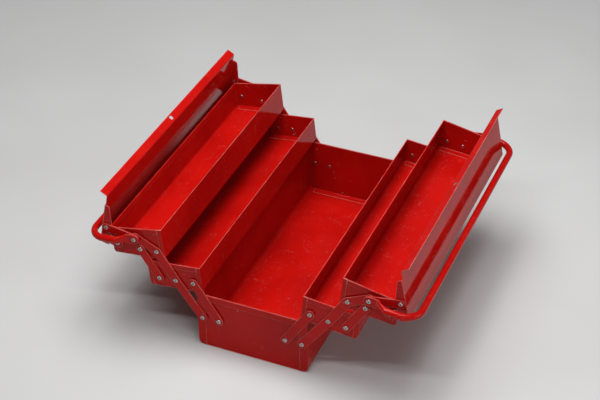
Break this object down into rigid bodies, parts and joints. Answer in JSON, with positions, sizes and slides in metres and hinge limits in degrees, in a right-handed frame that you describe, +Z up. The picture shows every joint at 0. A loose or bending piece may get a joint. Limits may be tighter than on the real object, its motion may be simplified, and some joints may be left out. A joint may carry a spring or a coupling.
{
  "type": "cantilever toolbox",
  "caption": "Opened steel cantilever toolbox: a deep box with middle and top trays fanned out to both sides on riveted links, self-opening lids and tube handles.",
  "frame": {"origin": "middle of the deep box, on its underside", "axes": "+X the way the right-hand trays fan out, +Y along the box from the near end to the far end, +Z up"},
  "size_m": [0.5978, 0.5458, 0.2758],
  "materials": {
    "red_enamel": "glossy red enamel on folded sheet steel",
    "rivet_steel": "plain zinc-plated rivet heads"
  },
  "bodies": {
    "box": {"box_shell": "red_enamel", "box_end_near": "red_enamel", "box_end_far": "red_enamel", "box_rivets": "rivet_steel"},
    "right_arms": {"right_long_arm_near": "red_enamel", "right_long_arm_far": "red_enamel", "right_handle_rivets": "rivet_steel"},
    "right_lower_links": {"right_lower_link_near": "red_enamel", "right_lower_link_far": "red_enamel"},
    "right_middle_tray": {"right_middle_tray": "red_enamel", "right_middle_end_near": "red_enamel", "right_middle_end_far": "red_enamel", "right_middle_rivets": "rivet_steel"},
    "right_upper_links": {"right_upper_link_near": "red_enamel", "right_upper_link_far": "red_enamel"},
    "right_top_tray": {"right_top_tray": "red_enamel", "right_top_end_near": "red_enamel", "right_top_end_far": "red_enamel", "right_top_rivets": "rivet_steel"},
    "right_lid": {"right_lid": "red_enamel", "right_lid_gable_near": "red_enamel", "right_lid_gable_far": "red_enamel", "right_lid_rivets": "rivet_steel"},
    "right_lid_links": {"right_lid_link_near": "red_enamel", "right_lid_link_far": "red_enamel"},
    "right_handle": {"right_handle": "red_enamel"},
    "left_arms": {"left_long_arm_near": "red_enamel", "left_long_arm_far": "red_enamel", "left_handle_rivets": "rivet_steel"},
    "left_lower_links": {"left_lower_link_near": "red_enamel", "left_lower_link_far": "red_enamel"},
    "left_middle_tray": {"left_middle_tray": "red_enamel", "left_middle_end_near": "red_enamel", "left_middle_end_far": "red_enamel", "left_middle_rivets": "rivet_steel"},
    "left_upper_links": {"left_upper_link_near": "red_enamel", "left_upper_link_far": "red_enamel"},
    "left_top_tray": {"left_top_tray": "red_enamel", "left_top_end_near": "red_enamel", "left_top_end_far": "red_enamel", "left_top_rivets": "rivet_steel"},
    "left_lid": {"left_lid": "red_enamel", "left_lid_gable_near": "red_enamel", "left_lid_gable_far": "red_enamel", "left_lid_rivets": "rivet_steel"},
    "left_lid_links": {"left_lid_link_near": "red_enamel", "left_lid_link_far": "red_enamel"},
    "left_handle": {"left_handle": "red_enamel"}
  },
  "joints": [
    {"name": "right_fold", "type": "hinge", "parent": "box", "child": "right_arms", "pos_m": [0.09125, 0, 0.0618], "axis": [0, -1, 0], "range_deg": [0, 67]},
    {"name": "right_lower_link_turn", "type": "hinge", "parent": "box", "child": "right_lower_links", "pos_m": [0.06105, 0, 0.0618], "axis": [0, -1, 0], "range_deg": [0, 65.74]},
    {"name": "right_middle_tray_turn", "type": "hinge", "parent": "right_arms", "child": "right_middle_tray", "pos_m": [0.13857, 0, 0.12768], "axis": [0, -1, 0], "range_deg": [-60.71, 0]},
    {"name": "right_top_tray_turn", "type": "hinge", "parent": "right_arms", "child": "right_top_tray", "pos_m": [0.17146, 0, 0.17944], "axis": [0, -1, 0], "range_deg": [-60.71, 0]},
    {"name": "right_upper_link_turn", "type": "hinge", "parent": "right_middle_tray", "child": "right_upper_links", "pos_m": [0.16938, 0, 0.12428], "axis": [0, -1, 0], "range_deg": [0, 60.71]},
    {"name": "right_lid_turn", "type": "hinge", "parent": "right_top_tray", "child": "right_lid", "pos_m": [0.24461, 0, 0.1777], "axis": [0, -1, 0], "range_deg": [0, 67.31]},
    {"name": "right_lid_link_turn", "type": "hinge", "parent": "right_lid", "child": "right_lid_links", "pos_m": [0.26254, 0, 0.20662], "axis": [0, -1, 0], "range_deg": [-94.81, 0]},
    {"name": "right_handle_swing", "type": "hinge", "parent": "right_arms", "child": "right_handle", "pos_m": [0.20989, 0, 0.19793], "axis": [0, -1, 0], "range_deg": [0, 32]},
    {"name": "left_fold", "type": "hinge", "parent": "box", "child": "left_arms", "pos_m": [-0.09125, 0, 0.0618], "axis": [0, 1, 0], "range_deg": [0, 67]},
    {"name": "left_lower_link_turn", "type": "hinge", "parent": "box", "child": "left_lower_links", "pos_m": [-0.06105, 0, 0.0618], "axis": [0, 1, 0], "range_deg": [0, 65.74]},
    {"name": "left_middle_tray_turn", "type": "hinge", "parent": "left_arms", "child": "left_middle_tray", "pos_m": [-0.13857, 0, 0.12768], "axis": [0, 1, 0], "range_deg": [-60.71, 0]},
    {"name": "left_top_tray_turn", "type": "hinge", "parent": "left_arms", "child": "left_top_tray", "pos_m": [-0.17146, 0, 0.17944], "axis": [0, 1, 0], "range_deg": [-60.71, 0]},
    {"name": "left_upper_link_turn", "type": "hinge", "parent": "left_middle_tray", "child": "left_upper_links", "pos_m": [-0.16938, 0, 0.12428], "axis": [0, 1, 0], "range_deg": [0, 60.71]},
    {"name": "left_lid_turn", "type": "hinge", "parent": "left_top_tray", "child": "left_lid", "pos_m": [-0.24461, 0, 0.1777], "axis": [0, 1, 0], "range_deg": [0, 67.31]},
    {"name": "left_lid_link_turn", "type": "hinge", "parent": "left_lid", "child": "left_lid_links", "pos_m": [-0.26254, 0, 0.20662], "axis": [0, 1, 0], "range_deg": [-94.81, 0]},
    {"name": "left_handle_swing", "type": "hinge", "parent": "left_arms", "child": "left_handle", "pos_m": [-0.20989, 0, 0.19793], "axis": [0, 1, 0], "range_deg": [0, 32]}
  ],
  "couplings": [
    {"joint": "right_lower_link_turn", "follows": "right_fold", "ratio": 0.98101},
    {"joint": "right_middle_tray_turn", "follows": "right_fold", "ratio": -0.90597},
    {"joint": "right_top_tray_turn", "follows": "right_fold", "ratio": -0.90597},
    {"joint": "right_upper_link_turn", "follows": "right_fold", "ratio": 0.90597},
    {"joint": "right_lid_turn", "follows": "right_fold", "ratio": 1.0045},
    {"joint": "right_lid_link_turn", "follows": "right_fold", "ratio": -1.415},
    {"joint": "left_lower_link_turn", "follows": "left_fold", "ratio": 0.98101},
    {"joint": "left_middle_tray_turn", "follows": "left_fold", "ratio": -0.90597},
    {"joint": "left_top_tray_turn", "follows": "left_fold", "ratio": -0.90597},
    {"joint": "left_upper_link_turn", "follows": "left_fold", "ratio": 0.90597},
    {"joint": "left_lid_turn", "follows": "left_fold", "ratio": 1.0045},
    {"joint": "left_lid_link_turn", "follows": "left_fold", "ratio": -1.415}
  ]
}
